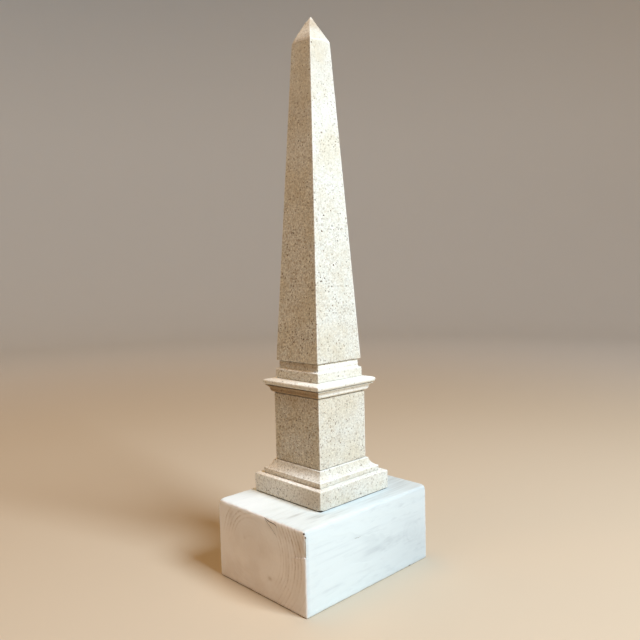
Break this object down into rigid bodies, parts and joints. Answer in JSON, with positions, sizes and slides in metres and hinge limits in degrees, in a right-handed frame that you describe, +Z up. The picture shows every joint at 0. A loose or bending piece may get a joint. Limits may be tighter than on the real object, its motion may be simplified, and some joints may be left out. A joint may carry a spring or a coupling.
{
  "type": "tabletop obelisk on a timber block",
  "caption": "Tapering square stone obelisk with a pyramid point on a moulded pedestal, standing on a white-painted timber block.",
  "frame": {"origin": "centre of the timber block's underside, where it stands", "axes": "+Z up the shaft, +X along the timber's grain (its long side), +Y across the timber"},
  "size_m": [0.19, 0.141, 0.61],
  "materials": {
    "painted_timber": "matte",
    "stone": "matte",
    "putty": "matte"
  },
  "bodies": {
    "root": {"timber_block": "painted_timber", "putty_under_plinth": "putty", "plinth": "stone", "putty_under_base_moulding": "putty", "base_moulding": "stone", "putty_under_die": "putty", "die": "stone", "putty_under_bed_moulding": "putty", "bed_moulding": "stone", "putty_under_cornice": "putty", "cornice": "stone", "putty_under_socle": "putty", "socle": "stone", "putty_under_shaft": "putty", "shaft": "stone"}
  },
  "joints": []
}
